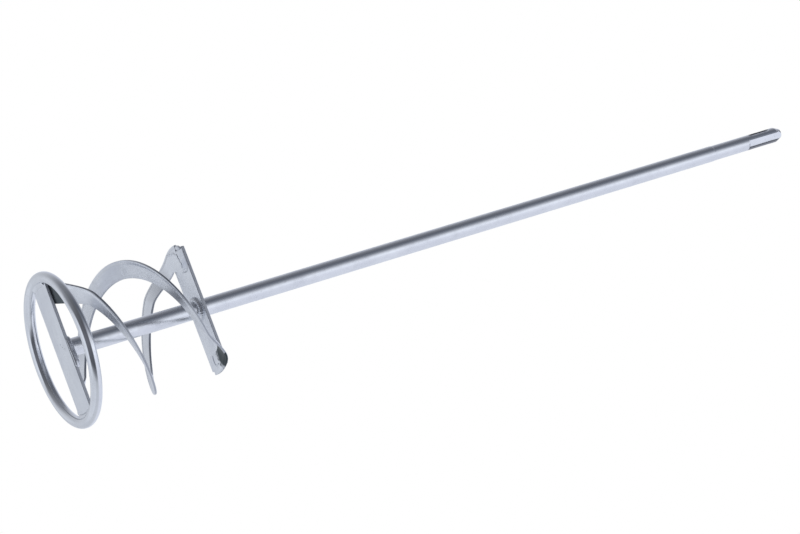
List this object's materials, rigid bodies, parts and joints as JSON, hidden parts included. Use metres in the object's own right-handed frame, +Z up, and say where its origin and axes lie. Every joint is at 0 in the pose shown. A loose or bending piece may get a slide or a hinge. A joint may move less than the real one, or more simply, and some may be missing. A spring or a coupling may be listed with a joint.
{
  "type": "mortar mixing paddle",
  "caption": "Welded mixing paddle: a long rod with a hammer-drill shank, helical ribbons between flat crossbars, and a round wire ring at the working end.",
  "frame": {"origin": "centre of the ring, on the plane of the ring's underside, on the rod's axis", "axes": "+Z up the rod to the tip of the shank, X along both crossbars, +Y across them; the ribbons climb right-handed about +Z"},
  "size_m": [0.0904, 0.0904, 0.54],
  "materials": {
    "rod": "drawn round bar, bright zinc plated, soft mirror sheen",
    "ring_wire": "drawn wire, bright zinc plated, soft mirror sheen",
    "strip": "rolled strip, bright zinc plated, satin",
    "ribbon": "rolled ribbon, bright zinc plated, satin",
    "weld": "rippled weld bead, zinc plated, slightly darker and rougher"
  },
  "bodies": {
    "root": {"shaft": "rod", "ring": "ring_wire", "lower_crossbar": "strip", "upper_crossbar": "strip", "helix_blade_a": "ribbon", "helix_blade_b": "ribbon", "shaft_foot_weld": "weld", "shaft_collar_weld": "weld", "ring_weld_a": "weld", "ring_weld_b": "weld", "blade_a_foot_weld": "weld", "blade_a_head_weld": "weld", "blade_b_foot_weld": "weld", "blade_b_head_weld": "weld"}
  },
  "joints": []
}
